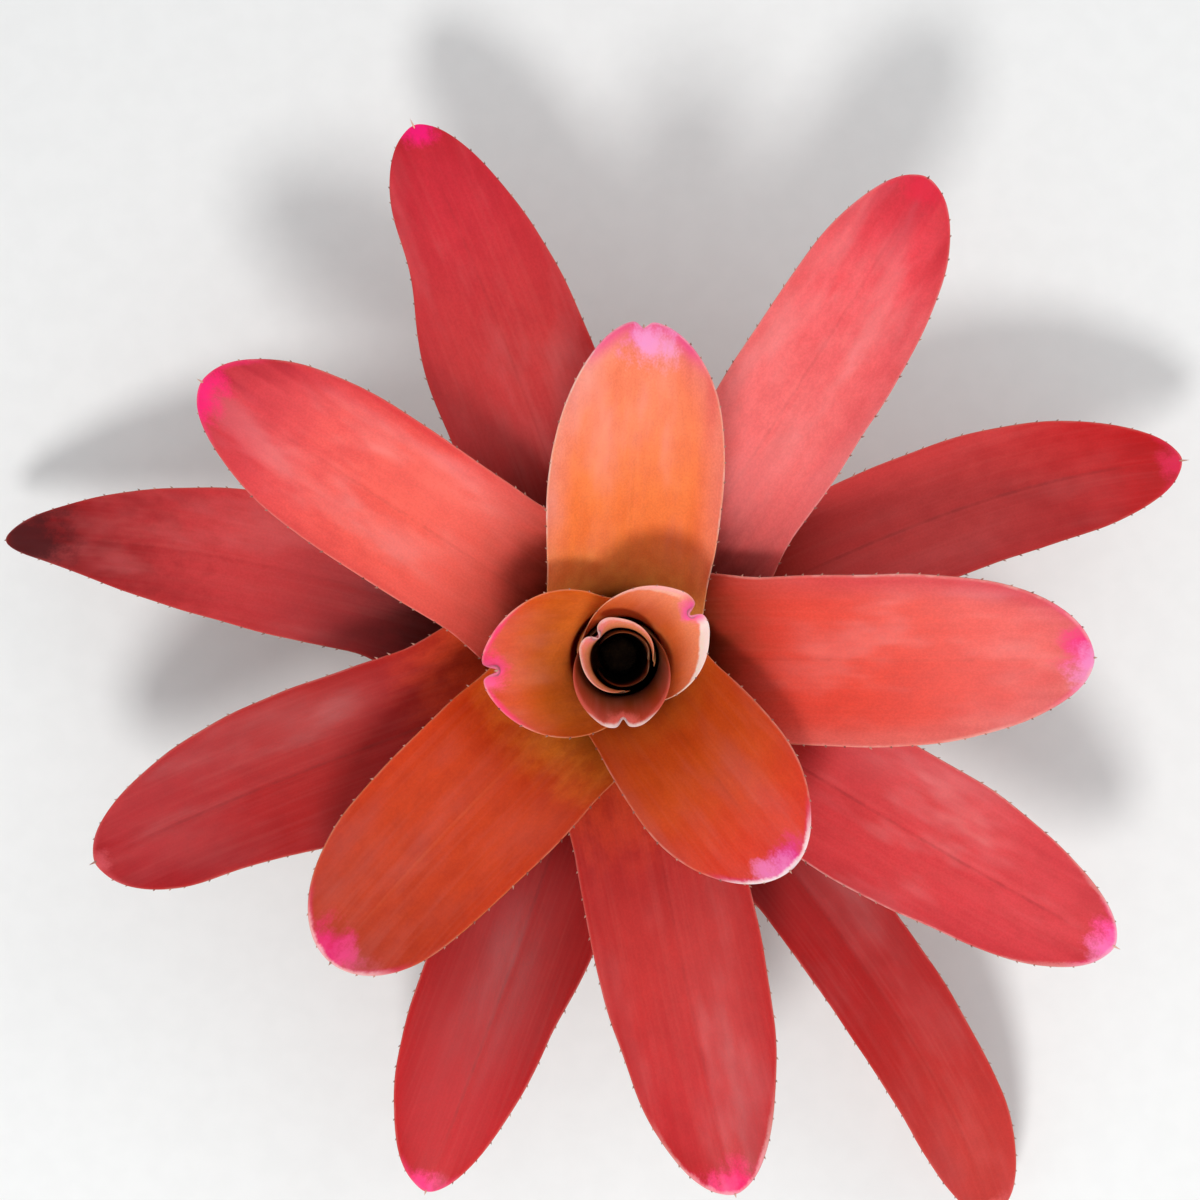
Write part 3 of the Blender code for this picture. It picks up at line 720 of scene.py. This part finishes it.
def makePaintGroup():
    # each effect is laid over the last by a mask from 0 to 1; lengths are in metres
    inputs = dict.fromkeys(["Up Blade", "From Tip", "Across", "To Edge", "Fine", "Broad", "Haze",
                            "Blotch", "Grain"], "f")
    for key, value in leafDefaults.items():
        inputs[socketOf(key)] = "c" if isinstance(value, str) else "f"
    tree, given, out = openGroup("leafPaint", inputs, {"Colour": "c"})
    uneven = minus(tree, given["Blotch"], 0.5)
    grain = minus(tree, given["Grain"], 0.5)

    # throat to middle to outer along the blade, and a paler margin; the throat colour holds painted
    # shade at the leaf's base, and on the inner cups painted light
    place = plus(tree, given["Up Blade"], times(tree, uneven, 0.05))
    paint = mix(tree, ramp(tree, place, 0.0, given["Throat End"]), given["Throat"], given["Middle"])
    paint = mix(tree, ramp(tree, place, 0.4, 0.95), paint, given["Outer"])
    pale = times(tree, fade(tree, given["To Edge"], 0.001, 0.012),
                 ramp(tree, given["Up Blade"], 0.1, 0.5))
    paint = mix(tree, times(tree, pale, given["Pallor"]), paint, leafTones["pale"])

    # streaks, blotches and grain darken it; hair-fine lines and painted sheen (Haze) make it paler
    streaks = times(tree, given["Broad"], ramp(tree, given["Haze"], 0.0, 1.0, 0.25, 1.0))
    for value, share, tone in ((streaks, 0.28, "streak"), (given["Blotch"], 0.30, "blotch"),
                               (given["Grain"], 0.24, "grain")):
        paint = mix(tree, times(tree, value, share), paint, leafTones[tone], "MULTIPLY")
    paint = mix(tree, times(tree, given["Fine"], 0.02), paint, leafTones["pale"])
    haze = times(tree, times(tree, given["Haze"], given["Bloom"]),
                 ramp(tree, given["Up Blade"], 0.12, 0.5, 0.0, 0.34))
    paint = mix(tree, haze, paint, leafTones["haze"])

    # dark red margins, stronger on one side, and a dark end
    crimson = times(tree, fade(tree, given["To Edge"], 0.0, 0.015),
                    ramp(tree, given["Up Blade"], 0.1, 0.5))
    tilt = times(tree, ramp(tree, given["Across"], -0.010, 0.010, -1.0, 1.0), given["Crimson Side"])
    crimson = times(tree, crimson, plus(tree, tilt, 1.0))
    crimson = times(tree, crimson, ramp(tree, given["Broad"], 0.0, 1.0, 0.6, 1.0))
    paint = mix(tree, times(tree, crimson, given["Crimson"]), paint, leafTones["crimson"],
                "MULTIPLY")
    ripe = times(tree, fade(tree, given["From Tip"], 0.004, 0.050),
                 ramp(tree, given["Broad"], 0.0, 1.0, 0.55, 1.0))
    paint = mix(tree, times(tree, ripe, given["Tip Tone"]), paint, leafTones["ripe"], "MULTIPLY")

    # the line of the midrib
    line = times(tree, fade(tree, calc(tree, "ABSOLUTE", given["Across"]), 0.0002, 0.0009),
                 ramp(tree, given["Blotch"], 0.1, 0.8, 0.5, 1.0))
    line = times(tree, line, ramp(tree, given["From Tip"], 0.010, 0.040))
    paint = mix(tree, times(tree, line, given["Line Amount"]), paint, given["Line"])

    # the blush: a ragged disc round the tip, and a hem that follows the edge away from it
    rough = plus(tree, times(tree, uneven, 0.50), times(tree, grain, 0.14))
    aside = minus(tree, given["Across"], given["Blush Shift"])
    spread = node(tree, "VectorMath", {"operation": "LENGTH"},
                  Vector=along3(tree, aside, given["From Tip"], 0.0)).outputs["Value"]
    ragged = plus(tree, ratio(tree, spread, given["Blush Size"]), rough)
    blush = fade(tree, ragged, 0.35, 1.20)
    wavering = plus(tree, given["To Edge"], times(tree, rough, 0.001))
    hem = times(tree, fade(tree, wavering, 0.0005, given["Hem Width"]),
                fade(tree, ratio(tree, given["From Tip"], given["Blush Size"]), 0.6, 1.6))
    blush = calc(tree, "MAXIMUM", blush, times(tree, hem, given["Hem"]))
    paint = mix(tree, times(tree, blush, given["Blush Amount"]), paint, given["Blush"])

    # the lilac glint inside the blush
    aside = times(tree, minus(tree, given["Across"], given["Glint Shift"]), 0.8)
    spread = node(tree, "VectorMath", {"operation": "LENGTH"},
                  Vector=along3(tree, aside, minus(tree, given["From Tip"], given["Glint Back"]),
                                0.0)).outputs["Value"]
    ragged = plus(tree, ratio(tree, spread, given["Blush Size"]), rough)
    glint = times(tree, fade(tree, ragged, 0.10, 0.80), given["Glint"])
    paint = mix(tree, glint, paint, leafTones["glint"])

    # the pale lip, a painted highlight: a band that widens towards the tip, on one side or both
    aside = times(tree, given["Across"], given["Lip Side"])
    side = plus(tree, ramp(tree, aside, 0.0015, 0.0060),
                times(tree, fade(tree, aside, -0.0090, -0.0040), given["Lip Other"]))
    wide = ramp(tree, given["From Tip"], 0.003, 0.016, 0.0042, 0.0)
    ragged = plus(tree, given["To Edge"], times(tree, uneven, 0.0016))
    band = ramp(tree, minus(tree, wide, ragged), -0.0004, 0.0012)
    lip = times(tree, times(tree, side, band), given["Lip Amount"])
    paint = mix(tree, lip, paint, given["Lip"])

    # frost on the edge of the tip, and the thin rim all round
    ragged = plus(tree, given["To Edge"], times(tree, rough, 0.0020))
    frost = times(tree, fade(tree, ragged, 0.0004, 0.0018),
                  fade(tree, ratio(tree, given["From Tip"], given["Frost Reach"]), 0.3, 1.0))
    paint = mix(tree, times(tree, frost, given["Frost"]), paint, leafTones["frost"])
    rim = times(tree, fade(tree, ratio(tree, given["To Edge"], given["Rim Width"]), 0.2, 1.0),
                ramp(tree, given["Blotch"], 0.2, 0.9, 0.3, 1.0))
    paint = mix(tree, times(tree, rim, given["Rim Amount"]), paint, given["Rim"])
    feed(tree, out, "Colour", paint)
    return tree


def makeUndersideGroup():
    # duller and greener than the top, with fine silvery scurf in bands across the leaf
    inputs = {"Colour": "c", "Across": "f", "Along": "f", "Up Blade": "f", "Seed": "f"}
    tree, given, out = openGroup("leafUnderside", inputs, {"Colour": "c"})
    dull = mix(tree, ramp(tree, given["Up Blade"], 0.0, 0.6, 0.62, 0.34), given["Colour"],
               leafTones["dull"])
    bandAt = along3(tree, times(tree, given["Across"], 70.0), times(tree, given["Along"], 520.0),
                    given["Seed"])
    scurf = ramp(tree, noise(tree, bandAt, detail=4.0, roughness=0.7), 0.45, 0.75)
    feed(tree, out, "Colour", mix(tree, times(tree, scurf, 0.28), dull, leafTones["scurf"]))
    return tree


def makeGlossGroup():
    # roughness: lower on the waxy patches, a little higher on the veins and the underside
    tree, given, out = openGroup("leafGloss", {"Haze": "f", "Fine": "f", "Under": "f"},
                                 {"Roughness": "f"})
    value = minus(tree, leafSkin["roughness"], times(tree, given["Haze"], leafSkin["polish"]))
    value = plus(tree, value, times(tree, given["Fine"], 0.05))
    feed(tree, out, "Roughness", plus(tree, value, times(tree, given["Under"], 0.16)))
    return tree


def newMaterial(name):
    material = bpy.data.materials.new(name)
    material.use_nodes = True
    tree = material.node_tree
    return material, tree, tree.nodes["Principled BSDF"]


def leafMaterial(age, look, groups):
    material, tree, shader = newMaterial(f"leafSkin_{age:02d}")
    spot = {}
    for label in ("fromBase", "fromTip", "upBlade", "across", "toEdge", "under"):
        spot[label] = node(tree, "Attribute", {"attribute_name": label}).outputs["Fac"]
    seed = 3.7 * age
    veins = node(tree, "Group", {"node_tree": groups["veins"]}, Across=spot["across"],
                 Along=spot["fromBase"], Seed=seed).outputs
    mottle = node(tree, "Group", {"node_tree": groups["mottle"]}, Across=spot["across"],
                  Along=spot["fromBase"], Seed=seed).outputs
    given = {socketOf(key): colourOf(value) if isinstance(value, str) else value
             for key, value in {**leafDefaults, **look}.items()}
    paint = node(tree, "Group", {"node_tree": groups["paint"]}, Up_Blade=spot["upBlade"],
                 From_Tip=spot["fromTip"], Across=spot["across"], To_Edge=spot["toEdge"],
                 Fine=veins["Fine"], Broad=veins["Broad"], Haze=mottle["Haze"],
                 Blotch=mottle["Blotch"], Grain=mottle["Grain"], **given).outputs
    below = node(tree, "Group", {"node_tree": groups["underside"]}, Colour=paint["Colour"],
                 Across=spot["across"], Along=spot["fromBase"], Up_Blade=spot["upBlade"],
                 Seed=seed).outputs
    gloss = node(tree, "Group", {"node_tree": groups["gloss"]}, Haze=mottle["Haze"],
                 Fine=veins["Fine"], Under=spot["under"]).outputs
    feed(tree, shader, "Base Color", mix(tree, spot["under"], paint["Colour"], below["Colour"]))
    feed(tree, shader, "Roughness", gloss["Roughness"])
    bump = node(tree, "Bump", None, Strength=leafSkin["veinStrength"],
                Distance=leafSkin["veinDepth"], Height=veins["Height"])
    feed(tree, shader, "Normal", bump.outputs[0])
    shader.inputs["Specular IOR Level"].default_value = leafSkin["shine"]
    shader.inputs["Coat Weight"].default_value = leafSkin["coat"]
    shader.inputs["Coat Roughness"].default_value = leafSkin["coatRoughness"]
    shader.inputs["Subsurface Weight"].default_value = leafSkin["glow"]
    shader.inputs["Subsurface Radius"].default_value = leafSkin["glowReach"]
    shader.inputs["Subsurface Scale"].default_value = 1.0
    return material


def spineMaterial():
    # tone runs from the pale, fleshy points at the leaf ends to the red-brown marginal spines
    material, tree, shader = newMaterial("spineHorn")
    place = node(tree, "TexCoord").outputs["Object"]
    tone = node(tree, "Attribute", {"attribute_name": "tone"}).outputs["Fac"]
    mottle = ramp(tree, noise(tree, place, 900.0), 0.3, 0.7, 0.75, 1.0)
    feed(tree, shader, "Base Color",
         mix(tree, times(tree, tone, mottle), colourOf(spineForm["flesh"]),
             colourOf(spineForm["horn"])))
    shader.inputs["Roughness"].default_value = spineForm["roughness"]
    return material


stemShape = {
    "radius": 0.0178,
    "shoulder": (0.0163, 0.0205),   # radius and height under the lowest leaf
    "apex": (0.0063, 0.0697),
    "dome": 0.0040,
    "bevel": 0.0010,
    "scars": [0.0030, 0.0068, 0.0104, 0.0146, 0.0186],   # heights of the rings of shed leaves
    "scarDepth": 0.0010,
    "scarLip": 0.0004,              # height of the sharp lip over each scar
    "scarFade": 0.0016,
    "waver": (0.0005, 0.0003),      # of each scar: in three waves a turn and in seven
    "straight": 0.0150,             # height up to which the side is upright
    "furrowDepth": 0.00014,
    "furrows": 41,
    "footFade": 0.0012,             # height over which scars and furrows come in
    "faceDepth": 0.00012,           # unevenness of the cut face
    "widest": 0.0180,
    "turns": 168,
    "rows": 150,
    "faceRows": 34,
    "cornerRows": 7,
    "domeRows": 14,
    "bark": ("6b4a33", "8f6c4a"),
    "string": "4a3020",
    "scarTone": "3b2417",
    "fibre": ("c9a877", "b58f5e"),
    "pore": "7a5532",
    "barkDepth": 0.0003,
}


def stemSide(turn, height):
    # radius of height: straight runs between three radii, less the ring scars, which waver in
    # height with the turn and fade above a sharp lip, plus shallow upright furrows
    form = stemShape
    radius = np.interp(height, [0, form["straight"], form["shoulder"][1], form["apex"][1]],
                       [form["radius"], form["radius"], form["shoulder"][0], form["apex"][0]])
    slow, quick = form["waver"]
    waver = slow * np.sin(3 * turn + 0.7) + quick * np.sin(7 * turn + 2.0)
    lips = np.zeros(np.broadcast_shapes(height.shape, turn.shape))
    for number, scar in enumerate(form["scars"]):
        offset = height - scar - waver * (1 if number % 2 else -1)
        fading = np.exp(-np.clip(offset, 0, None) / form["scarFade"])
        lips = lips + fading * smoothStep((offset + form["scarLip"]) / form["scarLip"])
    ends = smoothStep((height - form["bevel"]) / form["footFade"])
    furrows = form["furrowDepth"] * np.sin(form["furrows"] * turn + 9 * height / 0.01) * ends
    radius = radius - form["scarDepth"] * lips * ends * (radius / form["radius"]) + furrows
    return np.minimum(radius, form["widest"]), lips


def makeStem():
    # turned about Z from the middle of the cut face to the middle of the dome
    form = stemShape
    turn = np.linspace(0, 2 * pi, form["turns"] + 1)[None, :]
    level = np.ones_like(turn)
    sideShare = np.linspace(0, 1, form["rows"])[:, None]
    height = form["bevel"] + sideShare * (form["apex"][1] - form["bevel"])
    radius, lips = stemSide(turn, height)

    # the cut face, slightly uneven, and its rounded corner
    foot = form["radius"] - form["bevel"]
    faceShare = np.linspace(0, 1, form["faceRows"])[:, None]
    faceRadius = foot * faceShare * level
    faceRelief = 1 + np.sin(9 * faceRadius / 0.01 + 5 * turn)
    faceHeight = form["faceDepth"] * faceRelief * (1 - faceShare ** 8)
    cornerTurn = np.linspace(0, pi / 2, form["cornerRows"])[1:-1, None]
    cornerRadius = (foot + form["bevel"] * np.sin(cornerTurn)) * level
    cornerHeight = form["bevel"] * (1 - np.cos(cornerTurn)) * level
    domeAngle = np.linspace(0, 1, form["domeRows"])[1:, None] * pi / 2
    domeRadius = radius[-1:] * np.cos(domeAngle)
    domeHeight = (form["apex"][1] + form["dome"] * np.sin(domeAngle)) * level
    allRadius = np.vstack([faceRadius, cornerRadius, radius, domeRadius])
    allHeight = np.vstack([faceHeight, cornerHeight, height * level, domeHeight])
    points = np.stack([allRadius * np.cos(turn), allRadius * np.sin(turn), allHeight], -1)

    # one closed skin: the last turn is the first again, and each end is one point
    rows = len(points)
    index = np.arange(rows * form["turns"]).reshape(rows, form["turns"])
    index = np.concatenate([index, index[:, :1]], axis=1)
    index[0] = 0
    index[-1] = (rows - 1) * form["turns"]
    kept = np.unique(index)
    renumber = np.zeros(rows * form["turns"], int)
    renumber[kept] = np.arange(len(kept))
    faces = [renumber[group] for group in facesFrom(index[:, ::-1])]

    scar = np.zeros((rows, form["turns"]))
    side = len(faceRadius) + len(cornerRadius)
    scar[side:side + form["rows"]] = lips[:, :-1]
    cut = np.zeros((rows, form["turns"]))
    cut[:len(faceRadius)] = 1
    values = {"scar": scar.ravel()[kept], "cut": cut.ravel()[kept]}
    return meshFrom("stemBody", points[:, :-1].reshape(-1, 3)[kept], faces, values)


def stemMaterial():
    # bark: blotched brown, dark in the scars, stringy upright; cut face: pale with pores
    form = stemShape
    material, tree, shader = newMaterial("stemBark")
    place = node(tree, "TexCoord").outputs["Object"]
    scar = node(tree, "Attribute", {"attribute_name": "scar"}).outputs["Fac"]
    cut = node(tree, "Attribute", {"attribute_name": "cut"}).outputs["Fac"]
    stretched = node(tree, "Mapping", None, Vector=place, Scale=(900.0, 900.0, 90.0)).outputs[0]
    strings = ramp(tree, noise(tree, stretched, 1.0, 4.0, 0.6), 0.3, 0.7)
    blotch = ramp(tree, noise(tree, place, 190.0, 4.0, 0.6), 0.35, 0.68)
    bark = mix(tree, blotch, *[colourOf(code) for code in form["bark"]])
    bark = mix(tree, times(tree, strings, 0.45), bark, colourOf(form["string"]))
    bark = mix(tree, times(tree, scar, 0.8), bark, colourOf(form["scarTone"]))
    pores = node(tree, "TexVoronoi", {"feature": "F1"}, Vector=place, Scale=620.0)
    dots = fade(tree, pores.outputs["Distance"], 0.10, 0.42)
    fibre = mix(tree, blotch, *[colourOf(code) for code in form["fibre"]])
    fibre = mix(tree, times(tree, dots, 0.6), fibre, colourOf(form["pore"]))
    feed(tree, shader, "Base Color", mix(tree, cut, bark, fibre))
    height = mix(tree, cut, strings, dots)
    bump = node(tree, "Bump", None, Strength=0.6, Distance=form["barkDepth"],
                Height=height)
    feed(tree, shader, "Normal", bump.outputs[0])
    feed(tree, shader, "Roughness", ramp(tree, blotch, 0.0, 1.0, 0.78, 0.92))
    return material


groups = {"veins": makeVeinGroup(), "mottle": makeMottleGroup(), "paint": makePaintGroup(),
          "underside": makeUndersideGroup(), "gloss": makeGlossGroup()}
print("shader groups ready")

hooks = []
spines = []
for age, shape in leafShapes.items():
    leaf, points, places = makeLeaf(age, shape)
    leaf.data.materials.append(leafMaterial(age, leafLooks[age], groups))
    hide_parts(f"leaf_{age:02d}")
    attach(leaf, "root")
    if age >= spineForm["firstSpined"]:
        spines.append(spinesOf(points, places, 0, 100 + age))
        spines.append(spinesOf(points, places, -1, 200 + age))
    if age >= spineForm["firstPointed"]:
        middle = leafBody["columns"] // 2
        end = points[-1, middle]
        outward = unit(end - points[-14, middle])
        below = unit(np.cross(outward, np.cross(outward, np.array([0.0, 0.0, 1.0]))))
        hooks.append((end, outward, below, shape.get("point", 0.0012), shape.get("pointTone", 0.5)))
print("leaves ready")

edgeParts = [np.concatenate(part) for part in zip(*spines)]
endParts = [np.array(part) for part in zip(*hooks)]
thorns = makeHooks("marginSpines", *edgeParts, np.full(len(edgeParts[0]), spineForm["width"]))
tips = makeHooks("tipPoints", *endParts, np.full(len(hooks), spineForm["pointWidth"]))
for piece in (thorns, tips):
    piece.data.materials.append(spineMaterial())
    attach(piece, "root")
print("spines ready:", len(edgeParts[0]))

stem = makeStem()
stem.data.materials.append(stemMaterial())
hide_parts("stem")
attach(stem, "root")
print("stem ready")

studio = {
    "cameraPlace": (-0.0077, 0.0210, 1.1800),
    "lens": 88.0,
    "keyPlace": (-0.15, -0.78, 1.35),
    "keySize": 0.36,
    "keyPower": 11.5,
    "fillPlace": (0.9, 0.7, 1.0),
    "fillSize": 1.2,
    "fillPower": 4.0,
    "lampAim": (0.0, 0.0, 0.08),
    "sky": 0.62,
    "skyTint": (0.95, 0.97, 1.0, 1),
    "floor": "eeeeec",
    "floorFleck": "f0f0ee",
    "floorReach": 30.0,
}


def addFloor():
    # a wide, plain sheet that the plant stands on
    mesh = bpy.data.meshes.new("studioFloor")
    far = studio["floorReach"]
    mesh.from_pydata([(-far, -far, 0), (far, -far, 0), (far, far, 0), (-far, far, 0)], [],
                     [(0, 1, 2, 3)])
    floor = bpy.data.objects.new("studioFloor", mesh)
    bpy.context.scene.collection.objects.link(floor)
    material, tree, shader = newMaterial("studioPaper")
    place = node(tree, "TexCoord").outputs["Object"]
    grain = ramp(tree, noise(tree, place, 90.0), 0.3, 0.7)
    feed(tree, shader, "Base Color",
         mix(tree, grain, colourOf(studio["floor"]), colourOf(studio["floorFleck"])))
    shader.inputs["Roughness"].default_value = 0.9
    mesh.materials.append(material)


def addLamp(name, place, size, power):
    # a round soft lamp that looks at the plant
    lamp = bpy.data.lights.new(name, "AREA")
    lamp.shape = "DISK"
    lamp.size = size
    lamp.energy = power
    obj = bpy.data.objects.new(name, lamp)
    obj.location = place
    aim = Vector(studio["lampAim"]) - Vector(place)
    obj.rotation_euler = aim.to_track_quat("-Z", "Y").to_euler()
    bpy.context.scene.collection.objects.link(obj)


def addCamera():
    # straight above, looking down
    camera = bpy.data.cameras.new("overhead")
    camera.lens = studio["lens"]
    camera.sensor_width = 36.0
    camera.clip_start = 0.01
    obj = bpy.data.objects.new("overhead", camera)
    obj.location = studio["cameraPlace"]
    bpy.context.scene.collection.objects.link(obj)
    bpy.context.scene.camera = obj


addFloor()
addLamp("key", studio["keyPlace"], studio["keySize"], studio["keyPower"])
addLamp("fill", studio["fillPlace"], studio["fillSize"], studio["fillPower"])
addCamera()
world = bpy.data.worlds.new("studioSky")
world.use_nodes = True
sky = world.node_tree.nodes["Background"]
sky.inputs["Color"].default_value = studio["skyTint"]
sky.inputs["Strength"].default_value = studio["sky"]
bpy.context.scene.world = world
bpy.context.scene.view_settings.view_transform = "Standard"
print("studio ready")
